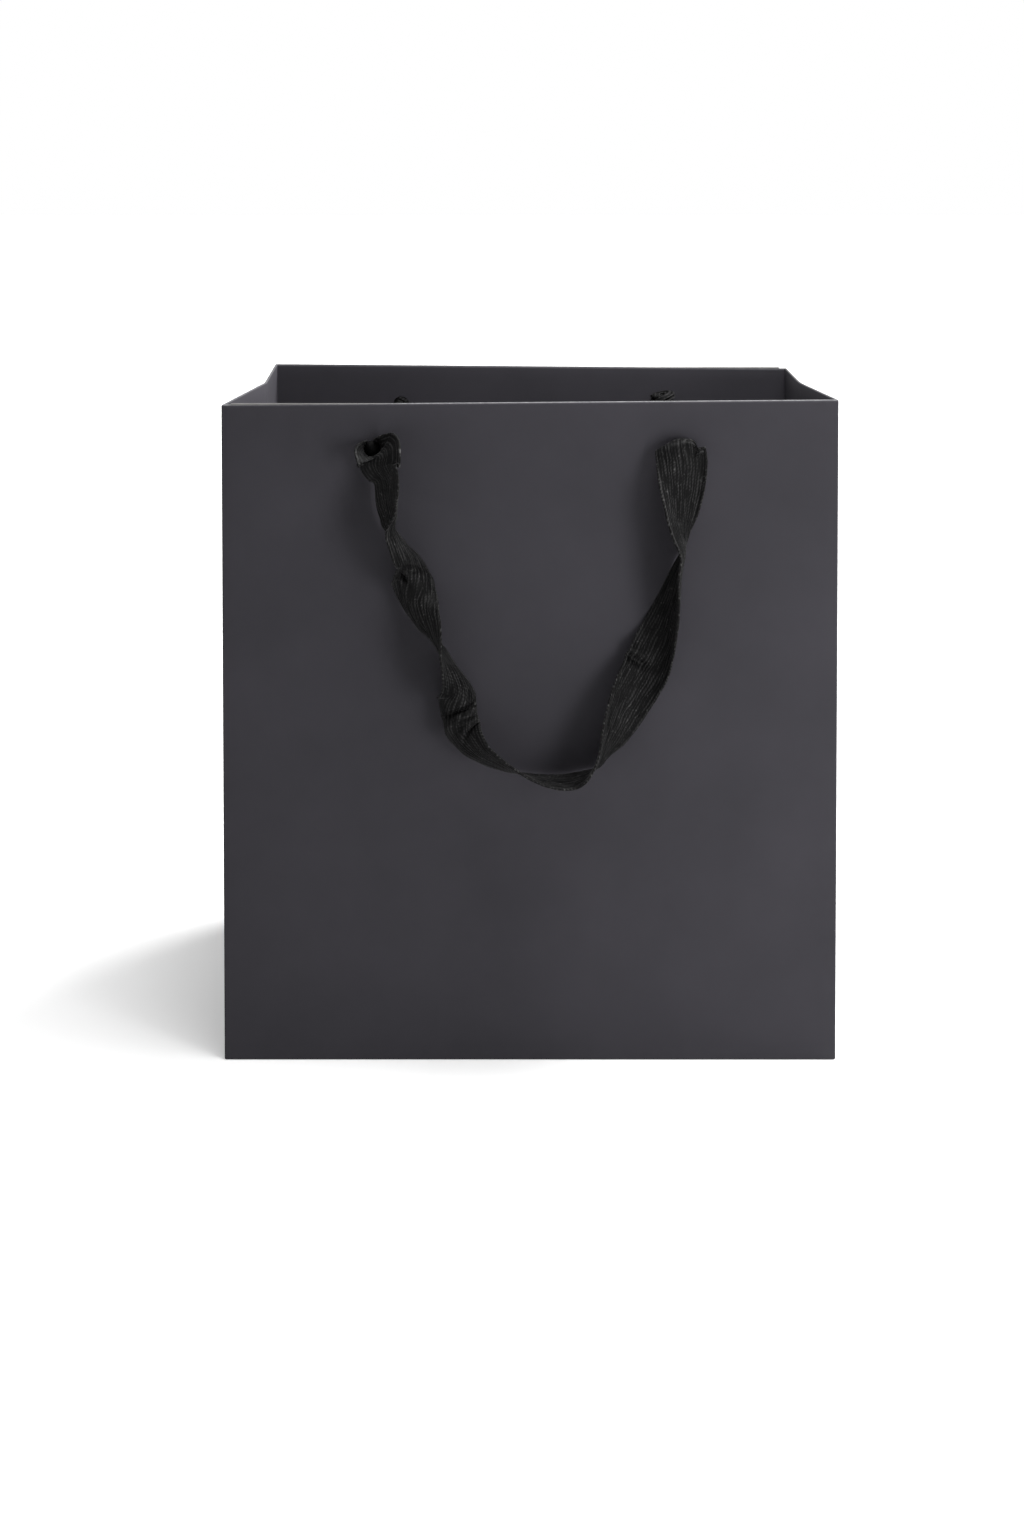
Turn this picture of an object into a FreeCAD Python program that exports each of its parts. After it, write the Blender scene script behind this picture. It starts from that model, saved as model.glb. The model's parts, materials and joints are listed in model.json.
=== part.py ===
import FreeCAD, Part
import math
import os
import Sketcher
from FreeCAD import Placement, Rotation, Vector

# A paper gift bag with ribbon handles, open at the top. Millimetres; the origin is the middle of the
# base, +Z is up, the front panel faces -Y and +X is to the right of someone facing the front.
# The bag is one folded and glued sheet; each facet between two creases is a piece of its own.

SIZES = {
    "bag_width": 190.0,       # across the front panel
    "bag_depth": 120.0,       # outside of the front panel to outside of the back panel
    "bag_height": 205.0,
    "paper": 0.4,             # laminated bag paper
    "crease_gap": 0.3,        # open width of a crease that works as a hinge
    "corner_gap": 2.0,        # hems and cards stop this far short of the side panels
    "hem_depth": 40.0,        # paper turned in at the top edge
    "card_height": 36.0,      # stiffening card under the hem
    "card_thick": 0.8,
    "card_end_gap": 1.0,      # a card is this much shorter than its hem at each end
    "hole_pitch": 97.0,       # punched holes for the ribbon, centre to centre
    "hole_drop": 14.5,        # hole centre below the top edge
    "hole_size": 6.0,
    "gusset_tuck": 3.2,       # how far the middle crease of a side panel stands in at rest
    "flap_overlap": 24.0,     # front and back bottom flaps where they are glued together
    "flap_corner": 12.0,      # corner cut off each bottom flap
    "side_flap": 45.0,        # reach of a side bottom flap
    "board_thick": 1.6,       # loose card on the bottom
    "board_end_gap": 5.0,     # finger room at the ends of the board
    "board_side_gap": 3.0,
    "board_corner": 3.0,
    "board_rest": 0.3,        # air under the loose board
    "seam_tab": 18.0,         # glue tab of the upright seam
    "ribbon_width": 16.0,
    "ribbon_thick": 0.8,
    "handle_out": 5.0,        # swing line of a handle in front of its panel
    "neck_size": 5.0,         # gathered ribbon in a hole
    "neck_gap": 0.3,          # between a gathered end and the loop that swings on it
    "knot_ring": 4.0,         # overhand knot inside the bag
    "knot_strand": 2.4,
    "tail_width": 9.0,        # ribbon end below a knot
    "tail_length": 12.0,
}

# Ribbon of the front handle from the left hole to the right one: distance to the right of the middle,
# drop below the holes, distance in front of the panel, turn of the ribbon about its own line (0 is flat
# to the panel, 90 is edge on) and share of the full width that is spread out.
RIBBON_ROUTE = [
    (-48.5, 0.0, 5.0, 0.0, 0.50),
    (-47.0, 4.5, 5.5, 25.0, 0.75),
    (-44.4, 14.6, 7.8, 55.0, 1.0),
    (-42.3, 29.0, 9.0, 90.0, 1.0),
    (-36.7, 42.1, 5.0, 165.0, 1.0),
    (-32.0, 51.8, 5.8, 212.0, 1.0),
    (-27.9, 61.8, 9.0, 270.0, 1.0),
    (-23.4, 74.3, 5.6, 335.0, 1.0),
    (-20.6, 85.3, 4.6, 375.0, 1.0),
    (-13.8, 93.9, 7.6, 410.0, 1.0),
    (-6.1, 99.1, 9.0, 436.0, 1.0),
    (4.7, 102.4, 9.2, 448.0, 1.0),
    (11.7, 103.7, 9.2, 450.0, 1.0),
    (18.5, 101.2, 9.2, 448.0, 1.0),
    (22.5, 97.5, 9.0, 436.0, 1.0),
    (28.5, 87.2, 6.4, 398.0, 1.0),
    (35.1, 71.5, 3.0, 360.0, 1.0),
    (41.4, 52.6, 6.4, 325.0, 1.0),
    (45.8, 34.5, 9.0, 270.0, 1.0),
    (47.3, 22.8, 6.0, 212.0, 1.0),
    (47.1, 9.2, 4.8, 182.0, 1.0),
    (47.5, 3.0, 5.0, 180.0, 0.90),
    (48.5, 0.0, 5.0, 180.0, 0.70),
]
SECTIONS_PER_SPAN = 2

doc = FreeCAD.newDocument("gift_bag")
sheet = doc.addObject("Spreadsheet::Sheet", "Sizes")
for row, (alias, value) in enumerate(SIZES.items(), 1):
    sheet.set(f"A{row}", alias)
    sheet.set(f"B{row}", str(value))
    sheet.setAlias(f"B{row}", alias)
DERIVED = {
    "half_width": "=bag_width / 2",
    "half_depth": "=bag_depth / 2",
    "hole_height": "=bag_height - hole_drop",
    "hinge_y": "=bag_depth / 2 - paper - crease_gap",
    "gusset_angle": "=asin(gusset_tuck / (bag_depth / 2 - paper - crease_gap))",
    "hem_inside": "=bag_depth / 2 - 2 * paper - card_thick",
    "floor_top": "=3 * paper",
}
for row, (alias, formula) in enumerate(DERIVED.items(), len(SIZES) + 1):
    sheet.set(f"A{row}", alias)
    sheet.set(f"B{row}", formula)
    sheet.setAlias(f"B{row}", alias)
doc.recompute()

parts = []


def number(expression):
    """The present value of a sheet expression, as a plain number."""
    value = sheet.evalExpression(expression)
    return float(getattr(value, "Value", value))


def bind_point(sketch, kind_x, geometry, vertex, x, y):
    """Hold one sketch vertex at two sheet expressions, measured from the sketch's origin."""
    for kind, expression in ((kind_x, x), ("DistanceY", y)):
        rule = Sketcher.Constraint(kind, -1, 1, geometry, vertex, number(expression))
        index = sketch.addConstraint(rule)
        sketch.setExpression(f"Constraints[{index}]", expression)


def draw(sketch, outline, holes):
    """Draw a closed outline of corners and round holes, each tied to sheet expressions."""
    corners = [Vector(number(x), number(y), 0) for x, y in outline]
    count = len(corners)
    for i in range(count):
        sketch.addGeometry(Part.LineSegment(corners[i], corners[(i + 1) % count]))
    for i in range(count):
        sketch.addConstraint(Sketcher.Constraint("Coincident", i, 2, (i + 1) % count, 1))
    for i, (x, y) in enumerate(outline):
        bind_point(sketch, "DistanceX", i, 1, x, y)
    for x, y, size in holes:
        middle = Vector(number(x), number(y), 0)
        circle = sketch.addGeometry(Part.Circle(middle, Vector(0, 0, 1), number(size) / 2))
        bind_point(sketch, "DistanceX", circle, 3, x, y)
        index = sketch.addConstraint(Sketcher.Constraint("Diameter", circle, number(size)))
        sketch.setExpression(f"Constraints[{index}]", size)


def pad(body, plane, outline, thick, holes=(), offset="0", backward=False):
    """Add one padded outline to a body, drawn on one of the body's own origin planes."""
    sketch = body.newObject("Sketcher::SketchObject", f"{body.Name}_outline")
    support = [face for face in body.Origin.OriginFeatures if face.Role == plane][0]
    sketch.AttachmentSupport = [(support, "")]
    sketch.MapMode = "FlatFace"
    sketch.setExpression("AttachmentOffset.Base.z", offset)
    draw(sketch, outline, holes)
    solid = body.newObject("PartDesign::Pad", f"{body.Name}_pad")
    solid.Profile = sketch
    solid.Reversed = backward
    solid.setExpression("Length", thick)
    return solid


def new_body(label, base, axis=Vector(0, 0, 1), angle="0 deg"):
    """An empty body placed by sheet expressions and turned about one axis through its base point."""
    body = doc.addObject("PartDesign::Body", label)
    body.Label = label
    body.Placement = Placement(Vector(0, 0, 0), Rotation(axis, 1))
    for letter, expression in zip("xyz", base):
        body.setExpression(f"Placement.Base.{letter}", expression)
    body.setExpression("Placement.Rotation.Angle", angle)
    parts.append(body)
    return body


def rectangle(x0, x1, y0, y1):
    return [(x0, y0), (x1, y0), (x1, y1), (x0, y1)]


def primitive(kind, label, base, sizes):
    """A plain solid with its sizes and its place bound to the sheet."""
    solid = doc.addObject(f"Part::{kind}", label)
    for name, expression in sizes.items():
        solid.setExpression(name, expression)
    for letter, expression in zip("xyz", base):
        solid.setExpression(f"Placement.Base.{letter}", expression)
    return solid


# Front and back panels with the hem and the card behind their top edges. The XZ plane faces -Y, so a
# forward pad runs towards the front.
hole_pair = [(f"{side} * Sizes.hole_pitch / 2", "Sizes.hole_height", "Sizes.hole_size") for side in (-1, 1)]
hem_half = "(Sizes.half_width - Sizes.corner_gap)"
card_half = "(Sizes.half_width - Sizes.corner_gap - Sizes.card_end_gap)"
for name, facing in (("front", -1), ("back", 1)):
    inward = facing < 0
    panel = new_body(f"{name}_panel", ("0", f"{facing} * Sizes.half_depth", "0"))
    outline = rectangle("-Sizes.half_width", "Sizes.half_width", "0", "Sizes.bag_height")
    pad(panel, "XZ_Plane", outline, "Sizes.paper", hole_pair, backward=inward)

    card = new_body(f"{name}_top_card", ("0", f"{facing} * (Sizes.half_depth - Sizes.paper)", "0"))
    card_top = "Sizes.bag_height - Sizes.paper"
    outline = rectangle(f"-{card_half}", card_half, f"{card_top} - Sizes.card_height", card_top)
    pad(card, "XZ_Plane", outline, "Sizes.card_thick", hole_pair, backward=inward)

    hem = new_body(f"{name}_hem", ("0", f"{facing} * (Sizes.hem_inside + Sizes.paper)", "0"))
    hem_foot = "Sizes.bag_height - Sizes.hem_depth"
    outline = rectangle(f"-{hem_half}", hem_half, hem_foot, "Sizes.bag_height")
    pad(hem, "XZ_Plane", outline, "Sizes.paper", hole_pair, backward=inward)
    fold = rectangle(f"-{hem_half}", hem_half, "Sizes.bag_height - Sizes.paper", "Sizes.bag_height")
    pad(hem, "XZ_Plane", fold, "Sizes.card_thick", backward=not inward)

# Side panels. Each has a crease up its middle and two creases from the base corners to the middle, so
# it is a front half, a back half and a base triangle that tuck in together.
facet_length = "(Sizes.hinge_y - Sizes.crease_gap / 2)"
facet_foot = "(Sizes.paper + 2 * Sizes.crease_gap)"
triangle_half = "(Sizes.half_depth - Sizes.floor_top - 2 * Sizes.crease_gap)"
for side, way in (("left", -1), ("right", 1)):
    inward = way > 0
    for half, facing in (("front", -1), ("back", 1)):
        label = f"{side}_gusset_{half}"
        hinge = (f"{way} * Sizes.half_width", f"{facing} * Sizes.hinge_y", "0")
        axis = Vector(0, 0, -way * facing)
        facet = new_body(label, hinge, axis, "Sizes.gusset_angle")
        reach = f"{-facing} * {facet_length}"
        outline = [("0", facet_foot), (reach, f"{facet_foot} + {facet_length}"),
                   (reach, "Sizes.bag_height"), ("0", "Sizes.bag_height")]
        pad(facet, "YZ_Plane", outline, "Sizes.paper", backward=inward)

        hem = new_body(f"{label}_hem", hinge, axis, "Sizes.gusset_angle")
        start = f"{-facing} * Sizes.corner_gap"
        stop = f"{-facing} * ({facet_length} - Sizes.crease_gap)"
        outline = rectangle(start, stop, "Sizes.bag_height - Sizes.hem_depth", "Sizes.bag_height")
        pad(hem, "YZ_Plane", outline, "Sizes.paper", offset=f"{-way} * Sizes.paper", backward=inward)

    foot = (f"{way} * Sizes.half_width", "0", "Sizes.floor_top + Sizes.crease_gap")
    triangle = new_body(f"{side}_gusset_base", foot, Vector(0, -way, 0), "Sizes.gusset_angle")
    outline = [(f"-{triangle_half}", "0"), (triangle_half, "0"), ("0", triangle_half)]
    pad(triangle, "YZ_Plane", outline, "Sizes.paper", backward=inward)

# Glue tab of the upright seam, on the inside of the right back half.
tab_hinge = ("Sizes.half_width", "Sizes.hinge_y", "0")
tab = new_body("side_seam_tab", tab_hinge, Vector(0, 0, -1), "Sizes.gusset_angle")
tab_top = "Sizes.bag_height - Sizes.hem_depth - Sizes.crease_gap"
tab_edge = "-(Sizes.corner_gap + Sizes.seam_tab)"
outline = [(tab_edge, "Sizes.seam_tab * 2 + Sizes.corner_gap"), ("-Sizes.corner_gap", "Sizes.seam_tab"),
           ("-Sizes.corner_gap", tab_top), (tab_edge, tab_top)]
pad(tab, "YZ_Plane", outline, "Sizes.paper", offset="-Sizes.paper", backward=True)

# Bottom flaps: the front one outermost, the back one glued over it, the two side ones on top.
flap_half = "(Sizes.half_width - Sizes.paper - Sizes.crease_gap)"
flap_reach = "Sizes.flap_overlap / 2"
for name, facing, level in (("front", -1, "0"), ("back", 1, "Sizes.paper")):
    flap = new_body(f"bottom_flap_{name}", ("0", "0", level))
    root = f"{facing} * (Sizes.half_depth - Sizes.paper)"
    shoulder = f"{-facing} * ({flap_reach} - Sizes.flap_corner)"
    tip = f"{-facing} * {flap_reach}"
    short = f"({flap_half} - Sizes.flap_corner)"
    outline = [(f"-{flap_half}", root), (flap_half, root), (flap_half, shoulder),
               (short, tip), (f"-{short}", tip), (f"-{flap_half}", shoulder)]
    pad(flap, "XY_Plane", outline, "Sizes.paper")
for name, way in (("left", -1), ("right", 1)):
    flap = new_body(f"bottom_flap_{name}", ("0", "0", "2 * Sizes.paper"))
    wide = "(Sizes.half_depth - Sizes.paper - Sizes.crease_gap)"
    narrow = f"({wide} - Sizes.flap_corner)"
    root = f"{way} * (Sizes.half_width - Sizes.paper - 2 * Sizes.crease_gap)"
    tip = f"{way} * (Sizes.half_width - Sizes.side_flap)"
    shoulder = f"{way} * (Sizes.half_width - Sizes.side_flap + Sizes.flap_corner)"
    outline = [(root, f"-{wide}"), (root, wide), (shoulder, wide), (tip, narrow),
               (tip, f"-{narrow}"), (shoulder, f"-{wide}")]
    pad(flap, "XY_Plane", outline, "Sizes.paper")

# Loose board on the bottom, with rounded corners.
board = new_body("base_board", ("0", "0", "Sizes.floor_top + Sizes.board_rest"))
board_x = "(Sizes.half_width - Sizes.board_end_gap)"
board_y = "(Sizes.half_depth - Sizes.paper - Sizes.board_side_gap)"
slab = pad(board, "XY_Plane", rectangle(f"-{board_x}", board_x, f"-{board_y}", board_y), "Sizes.board_thick")
doc.recompute()
upright = [f"Edge{i}" for i, edge in enumerate(slab.Shape.Edges, 1)
           if abs(edge.Vertexes[0].Z - edge.Vertexes[-1].Z) > number("Sizes.board_thick") / 2]
corners = board.newObject("PartDesign::Fillet", "base_board_corners")
corners.Base = (slab, upright)
corners.setExpression("Radius", "Sizes.board_corner")

# Knotted ribbon ends: a gathered neck through the hole, an overhand knot inside and a short tail.
for name, facing in (("front", -1), ("back", 1)):
    for side, way in (("left", -1), ("right", 1)):
        label = f"{name}_handle_knot_{side}"
        x = f"{way} * Sizes.hole_pitch / 2"
        knot_y = f"{facing} * (Sizes.hem_inside - Sizes.knot_strand)"
        tip = "(Sizes.half_depth + Sizes.handle_out - Sizes.ribbon_thick / 2 - Sizes.neck_gap)"
        length = f"{tip} - Sizes.hem_inside + Sizes.knot_strand"
        neck = primitive("Cylinder", f"{label}_neck", (x, f"{facing} * {tip}", "Sizes.hole_height"),
                         {"Radius": "Sizes.neck_size / 2", "Height": length})
        neck.Placement.Rotation = Rotation(Vector(0, 0, 1), Vector(0, -facing, 0))
        ring = primitive("Torus", f"{label}_ring", (x, knot_y, "Sizes.hole_height"),
                         {"Radius1": "Sizes.knot_ring", "Radius2": "Sizes.knot_strand"})
        ring.Placement.Rotation = Rotation(Vector(0, 0, 1), Vector(0, -facing, 0))
        ball = primitive("Sphere", f"{label}_core", (x, knot_y, "Sizes.hole_height"),
                         {"Radius": "Sizes.knot_ring"})
        tail = primitive("Box", f"{label}_tail",
                         (f"{x} - Sizes.tail_width / 2", f"{knot_y} - Sizes.ribbon_thick / 2",
                          "Sizes.hole_height - Sizes.knot_ring - Sizes.tail_length"),
                         {"Length": "Sizes.tail_width", "Width": "Sizes.ribbon_thick",
                          "Height": "Sizes.tail_length"})
        knot = doc.addObject("Part::MultiFuse", label)
        knot.Label = label
        knot.Shapes = [neck, ring, ball, tail]
        parts.append(knot)


def clamped_curve(poles):
    """Smooth curve of degree 2 that starts and ends on its first and last pole."""
    spans = len(poles) - 2
    curve = Part.BSplineCurve()
    knots = [float(i) for i in range(spans + 1)]
    curve.buildFromPolesMultsKnots(poles, [3] + [1] * (spans - 1) + [3], knots, False, 2)
    return curve, spans


def ribbon_loop(facing):
    """Solid of one hanging handle, its line and its tightest bend; facing is -1 for the front."""
    depth = number("Sizes.half_depth")
    top = number("Sizes.hole_height")
    half_pitch = number("Sizes.hole_pitch / 2")
    thick = number("Sizes.ribbon_thick")
    line = []
    turns = []
    for i, (x, drop, out, turn, spread) in enumerate(RIBBON_ROUTE):
        if i in (0, len(RIBBON_ROUTE) - 1):
            x = math.copysign(half_pitch, x)
            out = number("Sizes.handle_out")
        line.append(Vector(-facing * x, facing * (depth + out), top - drop))
        turns.append(Vector(turn, spread * number("Sizes.ribbon_width") / 2, 0))
    path, spans = clamped_curve(line)
    twist, spans = clamped_curve(turns)
    outward = Vector(0, facing, 0)
    count = spans * SECTIONS_PER_SPAN
    sections = []
    for i in range(count + 1):
        at = i / SECTIONS_PER_SPAN
        middle = path.value(at)
        along = Vector(path.tangent(at)[0])
        if i in (0, count):
            along = Vector(0, 0, -1 if i == 0 else 1)
        front = outward - along * outward.dot(along)
        front.normalize()
        across = along.cross(front)
        angle = math.radians(twist.value(at).x)
        reach = across * math.cos(angle) - front * math.sin(angle)
        face = along.cross(reach)
        wide = reach * twist.value(at).y
        rise = face * (thick / 2)
        corners = [middle + wide + rise, middle - wide + rise, middle - wide - rise, middle + wide - rise]
        sections.append(Part.makePolygon(corners + corners[:1]))
    bends = [path.curvature(i / SECTIONS_PER_SPAN) for i in range(1, count)]
    return Part.makeLoft(sections, True, True), path, 1 / max(bends)


for name, facing in (("front", -1), ("back", 1)):
    loop = doc.addObject("Part::Feature", f"{name}_handle_loop")
    loop.Label = f"{name}_handle_loop"
    loop.Shape, path, bend = ribbon_loop(facing)
    parts.append(loop)
    print(f"{loop.Label}: length {path.length():.1f} mm, tightest bend {bend:.1f} mm, "
          f"volume {loop.Shape.Volume:.0f} mm3")

doc.recompute()
for item in doc.Objects:
    if "Invalid" in item.State or "Error" in item.State:
        raise RuntimeError(f"{item.Label} did not build: {item.State}")
os.makedirs("parts", exist_ok=True)
for item in parts:
    shape = item.Shape
    if shape.isNull() or not shape.isValid() or len(shape.Solids) != 1:
        raise RuntimeError(f"{item.Label} is not one sound solid")
    shape.exportStep(f"parts/{item.Label}.step")
print(f"{len(parts)} pieces written")
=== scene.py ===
import json
import math
from collections import Counter
import bpy
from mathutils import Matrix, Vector, noise


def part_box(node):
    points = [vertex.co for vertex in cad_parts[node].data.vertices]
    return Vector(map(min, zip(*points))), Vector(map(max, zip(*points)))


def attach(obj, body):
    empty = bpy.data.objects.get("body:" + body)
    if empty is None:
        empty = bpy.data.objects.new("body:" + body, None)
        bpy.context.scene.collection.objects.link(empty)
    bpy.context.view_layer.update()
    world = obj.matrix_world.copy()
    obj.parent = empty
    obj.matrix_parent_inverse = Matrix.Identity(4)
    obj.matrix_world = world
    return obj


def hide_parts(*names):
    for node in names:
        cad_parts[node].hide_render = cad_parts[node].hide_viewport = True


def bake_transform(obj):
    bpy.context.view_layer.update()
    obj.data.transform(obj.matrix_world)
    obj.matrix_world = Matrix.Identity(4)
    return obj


# A charcoal paper gift bag with black woven ribbon handles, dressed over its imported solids.
# Metres, +Z up, the front panel faces -Y and +X is to the right of someone facing the front.

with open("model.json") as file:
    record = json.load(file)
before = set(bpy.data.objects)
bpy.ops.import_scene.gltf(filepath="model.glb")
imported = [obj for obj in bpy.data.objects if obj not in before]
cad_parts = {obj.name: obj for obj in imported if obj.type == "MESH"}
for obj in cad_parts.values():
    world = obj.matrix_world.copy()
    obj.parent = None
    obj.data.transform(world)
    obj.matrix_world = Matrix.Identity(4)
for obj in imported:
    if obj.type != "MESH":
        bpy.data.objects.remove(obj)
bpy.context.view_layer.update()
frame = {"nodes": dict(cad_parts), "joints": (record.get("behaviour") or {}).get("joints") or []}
MM = 0.001

# Sizes taken from the solids.
PANEL_LOW, PANEL_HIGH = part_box("front_panel")
HALF_WIDTH = PANEL_HIGH.x
HALF_DEPTH = -PANEL_LOW.y
HEIGHT = PANEL_HIGH.z
PAPER = PANEL_HIGH.y - PANEL_LOW.y
HEM_LOW, HEM_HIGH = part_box("front_hem")
HEM_FOOT = HEM_LOW.z
RIM_THICK = HEM_HIGH.y - PANEL_LOW.y
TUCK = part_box("left_gusset_base")[1].x + HALF_WIDTH - PAPER
KNOT_LOW, KNOT_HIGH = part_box("front_handle_knot_right")
HOLE_X = (KNOT_LOW.x + KNOT_HIGH.x) / 2
SWING = next(joint for joint in frame["joints"] if joint["name"] == "front_handle_swing")
HOLE_Z = SWING["pos_m"][2]

# Sizes of the paper's own details.
CORNER_RADIUS = 0.6 * MM
GUSSET_RIM = 2 * PAPER
WALL_STEP = 4.0 * MM
WAVE_HEIGHT = 0.30 * MM
WAVE_LENGTH = 70.0 * MM
BASE_WAVE = 0.6 * WAVE_HEIGHT
# The paper's waves die out over these distances from its edges and creases.
WALL_CALM = 25.0 * MM
RIM_CALM = 30.0 * MM
CREASE_CALM = 15.0 * MM
SLANT_CALM = 12.0 * MM
BASE_CALM = 10.0 * MM
RIM_WARP = 0.8 * MM
HEM_INSET = 0.7 * MM
CREASE_LIP = 2.4 * MM
APEX_COVER = 3.0 * MM
APEX_GAP = 0.2 * MM
LIP_GAP = 0.08 * MM
LIP_FOOT = 3.0 * MM
CREASE_ZONE = 6.0 * MM
# How strongly folds are painted pale, as a share of a fully pale edge: partly rubbed wear, partly a
# painted highlight where the folds catch the light.
FOOT_WEAR_AND_HIGHLIGHT = 0.03
GUSSET_RIM_WEAR_AND_HIGHLIGHT = 0.3
CREASE_WEAR_AND_HIGHLIGHT = 0.06
CREASE_WEAR_AND_HIGHLIGHT_REACH = 0.8 * MM
# How far each side panel's middle crease stands in at the mouth, and how softly it is creased there.
MOUTH_TUCK = {"left": (4.6 * MM, 0.5 * MM), "right": (3.0 * MM, 6.0 * MM)}
HOLE_RADIUS = 3.0 * MM
HOLE_CLEAR = 6.0 * MM
# Grid lines round a hole's centre; those at its radius bound the cells that are left open.
HOLE_LINES = [line * MM for line in (-4.5, -3.0, -2.0, -1.0, 0.0, 1.0, 2.0, 3.0, 4.5)]
FACING = {"front": -1, "back": 1}


def steps(start, stop, count):
    """Evenly spaced values from start to stop."""
    return [start + (stop - start) * i / (count - 1) for i in range(count)]


def ease(low, high, value):
    """0 below low, 1 above high and smooth in between."""
    t = min(1.0, max(0.0, (value - low) / (high - low)))
    return t * t * (3 - 2 * t)


def new_object(name, verts, faces, material, attributes=None):
    """A smooth-shaded mesh object in the row frame, with named point attributes."""
    mesh = bpy.data.meshes.new(name)
    mesh.from_pydata([tuple(v) for v in verts], [], faces)
    mesh.validate()
    mesh.polygons.foreach_set("use_smooth", [True] * len(mesh.polygons))
    for label, values in (attributes or {}).items():
        mesh.attributes.new(label, "FLOAT", "POINT").data.foreach_set("value", values)
    mesh.materials.append(material)
    mesh.update()
    thing = bpy.data.objects.new(name, mesh)
    bpy.context.collection.objects.link(thing)
    return thing


def thicken(thing):
    """Give a one-layer sheet its thickness, on the side away from its normals, with crisp cut edges."""
    uses = Counter(key for polygon in thing.data.polygons for key in polygon.edge_keys)
    for edge in thing.data.edges:
        edge.use_edge_sharp = uses[edge.key] == 1
    solid = thing.modifiers.new("paper", "SOLIDIFY")
    solid.thickness = PAPER
    solid.offset = -1
    solid.use_quality_normals = True


def grid_faces(row_count, column_count, skip=None):
    """Quads of a grid of rows and columns; skip(row, column) leaves a cell open."""
    faces = []
    for r in range(row_count - 1):
        for c in range(column_count - 1):
            if skip is None or not skip(r, c):
                a = r * column_count + c
                faces.append((a, a + 1, a + column_count + 1, a + column_count))
    return faces


# Materials

BLACK = (0, 0, 0)
WHITE = (1, 1, 1)
PAPER_DARK = (0.0363, 0.0348, 0.0407)
PAPER_LIGHT = (0.0448, 0.0426, 0.0500)
# Pale fold colour: partly rubbed wear, partly a painted highlight on folds that catch the light.
PAPER_WORN_AND_HIGHLIGHT = (0.28, 0.28, 0.285)
PAPER_ROUGH = (0.56, 0.66)
BOARD_DARK = (0.13, 0.128, 0.125)
BOARD_LIGHT = (0.19, 0.186, 0.18)
BOARD_FLECK = (0.07, 0.068, 0.065)
# The ribbon's colour holds its light: painted shade in the grooves, a painted highlight on the yarn crowns
# and painted glints.
RIBBON_GROOVE_SHADE = (0.0014, 0.0014, 0.0015)
RIBBON_CROWN_HIGHLIGHT = (0.022, 0.0217, 0.022)
RIBBON_PAINTED_GLINT = (0.13, 0.129, 0.128)
# Noise scales, in features per metre: soft clouds and mottling, then fibres, flecks and the paper's tooth.
CLOUD_SCALE = 22.0
MOTTLE_SCALE = 60.0
FIBRE_SCALE = 420.0
FLECK_SCALE = 900.0
TOOTH_SCALE = 2600.0
# Twill yarns lie 1.1 mm apart along the ribbon, one wave each, slanted and unevenly spaced.
YARN_TURNS = 2 * math.pi / (1.1 * MM)
YARN_SLANT = 0.9
YARN_JITTER = 5.0
# Yarn shows as broken streaks, about 7 mm long and 0.9 mm apart.
STREAK_ALONG = 1 / (7.0 * MM)
STREAK_ACROSS = 1 / (0.9 * MM)
# Share of a rib's light that stays between two picks.
PICK_FLOOR = 0.65


def new_material(name):
    """A material with its shader and the lists that the node helpers need."""
    material = bpy.data.materials.new(name)
    material.use_nodes = True
    tree = material.node_tree
    return material, tree.nodes, tree.links, tree.nodes["Principled BSDF"]


def noise_node(nodes, links, source, scale, detail, rough):
    """Cloudy noise over the source's coordinates."""
    texture = nodes.new("ShaderNodeTexNoise")
    texture.inputs["Scale"].default_value = scale
    texture.inputs["Detail"].default_value = detail
    texture.inputs["Roughness"].default_value = rough
    links.new(source, texture.inputs["Vector"])
    return texture.outputs["Fac"]


def ramp_node(nodes, links, source, low, high, colour_low, colour_high):
    """One colour up to low, another from high on, and a blend between."""
    ramp = nodes.new("ShaderNodeValToRGB")
    first, last = ramp.color_ramp.elements
    first.position, last.position = low, high
    first.color, last.color = (*colour_low, 1), (*colour_high, 1)
    links.new(source, ramp.inputs["Fac"])
    return ramp.outputs["Color"]


def math_node(nodes, links, operation, *values):
    """An arithmetic node; each value is a socket or a number."""
    node = nodes.new("ShaderNodeMath")
    node.operation = operation
    for socket, value in zip(node.inputs, values):
        if isinstance(value, (int, float)):
            socket.default_value = value
        else:
            links.new(value, socket)
    return node.outputs[0]


def mix_node(nodes, links, factor, first, second):
    """Colour mix; each of first and second is a socket or a colour."""
    node = nodes.new("ShaderNodeMix")
    node.data_type = "RGBA"
    links.new(factor, node.inputs["Factor"])
    for socket, value in zip((node.inputs[6], node.inputs[7]), (first, second)):
        if isinstance(value, tuple):
            socket.default_value = (*value, 1)
        else:
            links.new(value, socket)
    return node.outputs[2]


def bump_node(nodes, links, height, strength, distance, before=None):
    """Fine relief from a height, on top of the relief before it."""
    bump = nodes.new("ShaderNodeBump")
    bump.inputs["Strength"].default_value = strength
    bump.inputs["Distance"].default_value = distance
    links.new(height, bump.inputs["Height"])
    if before is not None:
        links.new(before, bump.inputs["Normal"])
    return bump.outputs["Normal"]


def attribute_node(nodes, name):
    """The value of a mesh's own point attribute."""
    node = nodes.new("ShaderNodeAttribute")
    node.attribute_name = name
    return node.outputs["Fac"]


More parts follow.
